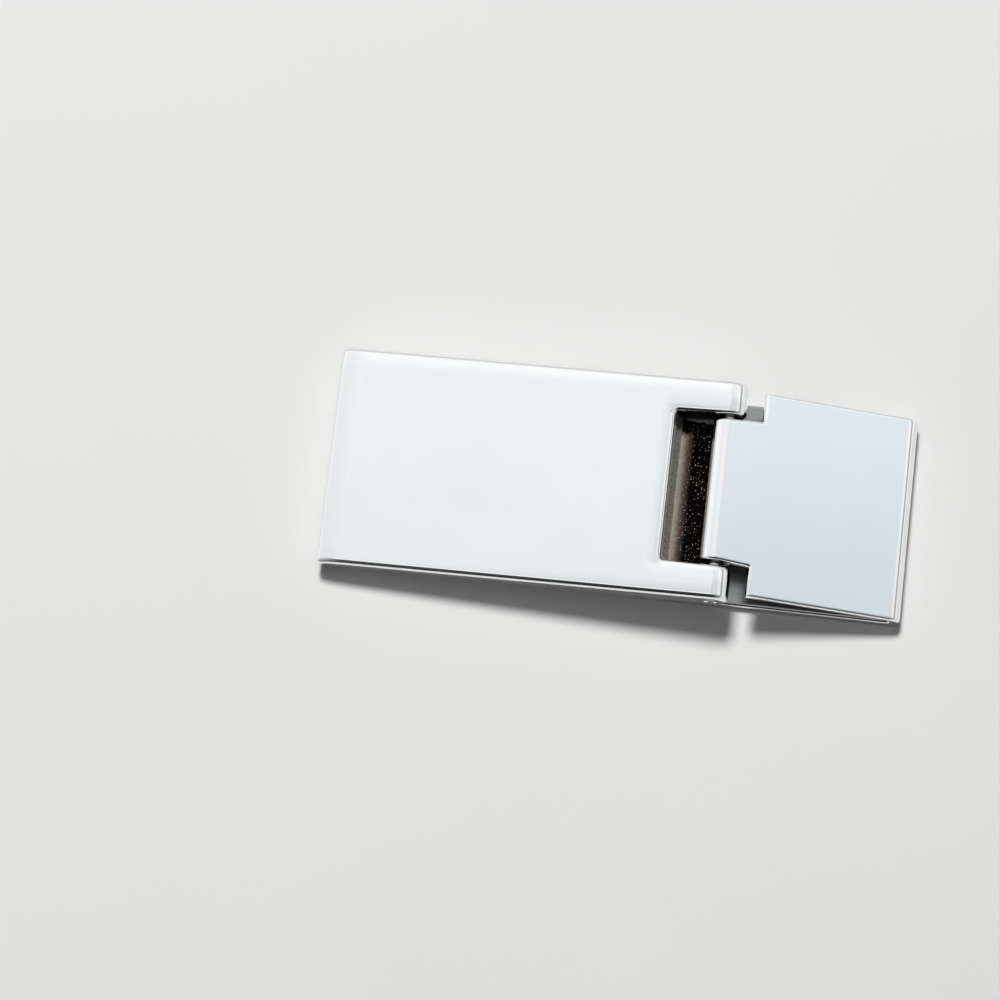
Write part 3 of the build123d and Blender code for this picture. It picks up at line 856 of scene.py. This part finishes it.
def hinge_pin(material):
    """The pin, with its ends peened to shallow domes."""
    half = [(radius, PIN_HALF_LENGTH - drop) for radius, drop in PIN_DOME]
    profile = half + [(radius, -height) for radius, height in reversed(half)]
    bm = bmesh.new()
    lathe(bm, profile, Vector((PIN.x, 0, PIN.y)), (0, 1, 0))
    return finish_mesh(bm, "hinge_pin_peened", "flap", ["hinge_pin"], material)


def spring_path(start, bends):
    """The spring's upper face in the side view, from its end in the pocket."""
    path = Path(start, UNDERSIDE_SLOPE)
    path.run(SPRING_STRAIGHT)
    for radius, turn in bends:
        path.turn(radius, turn)
    return path


def leaf_spring(material):
    """The spring strip, which follows the pocket, dips and rises to the rolled end."""
    contact = PIN - Vector((0, CAM_FLAT_DISTANCE + SPRING_PLAY))
    reach = spring_path(Vector((0.0, 0.0)), SPRING_BENDS[:BENDS_TO_CONTACT]).end
    path = spring_path(contact - reach, SPRING_BENDS)
    corners = [
        (0.0, -SPRING_HALF_WIDTH, SPRING_CORNER_RADIUS),
        (path.length, -SPRING_HALF_WIDTH, SPRING_CORNER_RADIUS),
        (path.length, SPRING_HALF_WIDTH, SPRING_CORNER_RADIUS),
        (0.0, SPRING_HALF_WIDTH, SPRING_CORNER_RADIUS),
    ]
    bm = rounded_plate(corners, SPRING_THICKNESS, SPRING_EDGE_ROUND, round_segments=3)
    for distance in path.cuts(STRAIGHT_STEP):
        cut(bm, (distance, 0, 0), (1, 0, 0))
    bend(bm, path, -1)
    return finish_mesh(bm, "snap_leaf_spring", "flap", ["leaf_spring"], material)


def rivets(material):
    """Two rivets whose domed heads have a small punch mark."""
    rim, height, base = RIVET_HEAD_RADIUS, RIVET_HEAD_HEIGHT, SPRING_THICKNESS
    top = base + height
    punch_mark = [(0.0, top - 0.12), (0.18, top - 0.1), (0.3, top - 0.01), (0.42, top)]
    dome = [(rim * 0.62, top - 0.04), (rim * 0.84, base + height * 0.72), (rim * 0.97, base + height * 0.4)]
    edge = [(rim, base + RIVET_HEAD_RIM), (rim, base + RIVET_HEAD_PLAY)]
    shank = [(RIVET_SHANK_RADIUS, base + RIVET_HEAD_PLAY), (RIVET_SHANK_RADIUS, -RIVET_SHANK_LENGTH)]
    profile = punch_mark + dome + edge + shank + [(0.0, -RIVET_SHANK_LENGTH)]
    down = direction(UNDERSIDE_SLOPE - 90)
    bm = bmesh.new()
    for y in (-RIVET_HALF_SPACING, RIVET_HALF_SPACING):
        seat = Vector((RIVET_X, y, underside(RIVET_X, POCKET_DEPTH)))
        lathe(bm, profile, seat, (down.x, 0, down.y), segments=40)
    return finish_mesh(bm, "spring_rivet_pair", "flap", ["spring_rivets"], material)


# ================================================================ studio
# Brightness of the white tent on each side, as (degrees from overhead, grey level, blue tint) stops
TENT = {
    "+X": [
        (0, 0.93, 0.05), (20, 0.90, 0.10), (34.5, 0.905, 0.115), (40, 1.06, 0.02), (58, 1.08, 0.0),
        (61, 0.42, 0.0), (71, 0.42, 0.0), (75, 1.05, 0.0), (90, 1.0, 0.0),
    ],
    "-X": [
        (0, 0.64, 0.04), (8, 0.76, 0.04), (13, 0.90, 0.03), (21, 0.90, 0.03), (27, 0.86, 0.03),
        (46, 0.86, 0.03), (57, 0.98, 0.0), (78, 1.0, 0.0), (90, 0.55, 0.0),
    ],
    "+Y": [
        (0, 0.66, 0.04), (9, 0.82, 0.03), (13, 0.93, 0.03), (20, 0.93, 0.03), (26, 1.05, 0.0),
        (48, 1.02, 0.0), (62, 0.84, 0.01), (78, 0.66, 0.02), (90, 0.46, 0.03),
    ],
    "-Y": [
        (0, 0.66, 0.04), (12, 0.60, 0.03), (22, 0.98, 0.0), (33, 1.05, 0.0),
        (35, 0.02, 0.0), (90, 0.01, 0.0),
    ],
}
# The tent grows lighter from LIGHTER_FROM to LIGHTER_TO degrees toward +Y, by one share on each half
LIGHTER_FROM, LIGHTER_TO = 12.4, 15.9
LIGHTER_LEFT, LIGHTER_RIGHT = 0.05, 0.145
HALVES_MEET = -0.1, 0.3  # a direction's part along X, over which one share gives way to the other
# The tent's +X half is dimmer by this factor, which sets in from DIMMER_FROM to DIMMER_TO degrees toward +X
DIMMER_FROM, DIMMER_TO, DIMMER_SHARE = -6.5, -1.0, 0.87
FLOOR_REACH = 2000.0
FLOOR_Z = -0.02
CAMERA_AZIMUTH = 6.6  # degrees from -Y toward +X
CAMERA_ELEVATION = 76.1
CAMERA_TARGET = Vector((-12.16, -2.9, 3.0))
CAMERA_DISTANCE = 402
SENSOR_WIDTH = 36
LENS_TO_SENSOR = 3.885


def tent_side(tree, angle, stops):
    """The brightness ramp of one side of the tent, by the angle from overhead."""
    ramp = node(tree, "ShaderNodeValToRGB", {"Fac": calc(tree, "DIVIDE", angle, 90.0)})
    points = ramp.color_ramp.elements
    while len(points) < len(stops):
        points.new(0.5)
    for point, (degrees, level, tint) in zip(points, stops):
        point.position = degrees / 90
        point.color = (level * (1 - tint), level, level * (1 + tint * 0.4), 1)
    return ramp.outputs["Color"]


def over_degrees(tree, part, first, last, from_value, to_value):
    """A remap of one part of a ray's direction, across two angles in degrees."""
    low, high = math.sin(math.radians(first)), math.sin(math.radians(last))
    return remap(tree, part, low, high, from_value, to_value)


def tent_shares(tree, x, y):
    """How much each side of the tent counts in a direction. The four shares add up to 1."""
    squares = calc(tree, "ADD", product(tree, x, x), product(tree, y, y))
    flat = calc(tree, "MAXIMUM", squares, 1e-6)
    shares = {}
    for side, axis, sign in (("+X", x, 1.0), ("-X", x, -1.0), ("+Y", y, 1.0), ("-Y", y, -1.0)):
        reach = calc(tree, "MAXIMUM", product(tree, axis, sign), 0.0)
        shares[side] = calc(tree, "DIVIDE", product(tree, reach, reach), flat)
    return shares


def studio_world():
    """A soft white tent whose four sides differ, blended round the clip by direction."""
    world = bpy.data.worlds.new("tent")
    bpy.context.scene.world = world
    world.use_nodes = True
    tree = world.node_tree
    tree.nodes.clear()
    ray = node(tree, "ShaderNodeTexCoord").outputs["Generated"]
    x, y, z = node(tree, "ShaderNodeSeparateXYZ", {0: ray}).outputs[:]
    overhead = product(tree, calc(tree, "ARCCOSINE", z), math.degrees(1))
    shares = tent_shares(tree, x, y)
    total = (0.0, 0.0, 0.0)
    for side, stops in TENT.items():
        inputs = {0: tent_side(tree, overhead, stops), "Scale": shares[side]}
        scaled = node(tree, "ShaderNodeVectorMath", inputs, operation="SCALE").outputs[0]
        total = node(tree, "ShaderNodeVectorMath", {0: total, 1: scaled}, operation="ADD").outputs[0]
    climb = over_degrees(tree, y, LIGHTER_FROM, LIGHTER_TO, -0.5, 0.5)
    rise = remap(tree, x, *HALVES_MEET, LIGHTER_LEFT, LIGHTER_RIGHT)
    dimming = over_degrees(tree, x, DIMMER_FROM, DIMMER_TO, 1.0, DIMMER_SHARE)
    strength = product(tree, calc(tree, "MULTIPLY_ADD", climb, rise, 1.0), dimming)
    shown = node(tree, "ShaderNodeBackground", {"Color": total, "Strength": strength})
    out = node(tree, "ShaderNodeOutputWorld")
    tree.links.new(shown.outputs[0], out.inputs[0])
    world.cycles_visibility.diffuse = False


def soft_lamp(name, place, size, energy):
    """A round lamp, in metres and watts, aimed at the clip. It lights the floor but not the plating."""
    lamp = bpy.data.lights.new(name, "AREA")
    lamp.shape = "DISK"
    lamp.size = size
    lamp.energy = energy
    light = bpy.data.objects.new(name, lamp)
    bpy.context.scene.collection.objects.link(light)
    light.location = place
    light.rotation_euler = (-Vector(place)).to_track_quat("-Z", "Y").to_euler()
    light.visible_glossy = False
    light.visible_camera = False


def floor():
    """A plain pale floor, lit softly from above and more strongly from the clip's +Y side."""
    mesh = bpy.data.meshes.new("floor")
    turns = ((-1, -1), (1, -1), (1, 1), (-1, 1))
    corners = [Vector((x * FLOOR_REACH, y * FLOOR_REACH, FLOOR_Z)) * MM for x, y in turns]
    mesh.from_pydata(corners, [], [(0, 1, 2, 3)])
    piece = bpy.data.objects.new("floor", mesh)
    bpy.context.scene.collection.objects.link(piece)
    material, tree, shader = new_material("paper")
    shader.inputs["Roughness"].default_value = 0.9
    shader.inputs["Specular IOR Level"].default_value = 0.0
    mottle = mapped_noise(tree, 40, detail=2.0)
    tree.links.new(mix_color(tree, mottle, PAPER_DARK, PAPER_LIGHT), shader.inputs["Base Color"])
    mesh.materials.append(material)
    soft_lamp("fill", place=(-0.1, -0.05, 0.7), size=0.9, energy=0.8)
    soft_lamp("key", place=(-0.2, 0.5, 1.05), size=0.3, energy=11.5)


def camera():
    """From above, tilted toward -Y and turned a little about Z."""
    azimuth, elevation = math.radians(CAMERA_AZIMUTH), math.radians(CAMERA_ELEVATION)
    back = Vector((
        math.sin(azimuth) * math.cos(elevation),
        -math.cos(azimuth) * math.cos(elevation),
        math.sin(elevation),
    ))
    data = bpy.data.cameras.new("camera")
    data.sensor_width = SENSOR_WIDTH
    data.lens = LENS_TO_SENSOR * SENSOR_WIDTH
    data.clip_start = 10 * MM
    eye = bpy.data.objects.new("camera", data)
    bpy.context.scene.collection.objects.link(eye)
    right = Vector((0, 0, 1)).cross(back).normalized()
    turned = Matrix((right, back.cross(right), back)).transposed().to_4x4()
    eye.matrix_world = Matrix.Translation((CAMERA_TARGET + back * CAMERA_DISTANCE) * MM) @ turned
    bpy.context.scene.camera = eye


body_sheet(plating("body_plating", BRIGHT_METAL, BODY_WARM_METAL, 15, satin_and_shade_inside=True))
flap_casting(plating("flap_plating", BRIGHT_METAL, FLAP_WARM_METAL, 40, in_notch=True))
hinge_pin(plating("pin_plating", PIN_METAL, PIN_WARM_METAL, 70))
leaf_spring(spring_steel())
rivets(rivet_steel())
floor()
studio_world()
camera()
bpy.context.scene.view_settings.view_transform = "Standard"
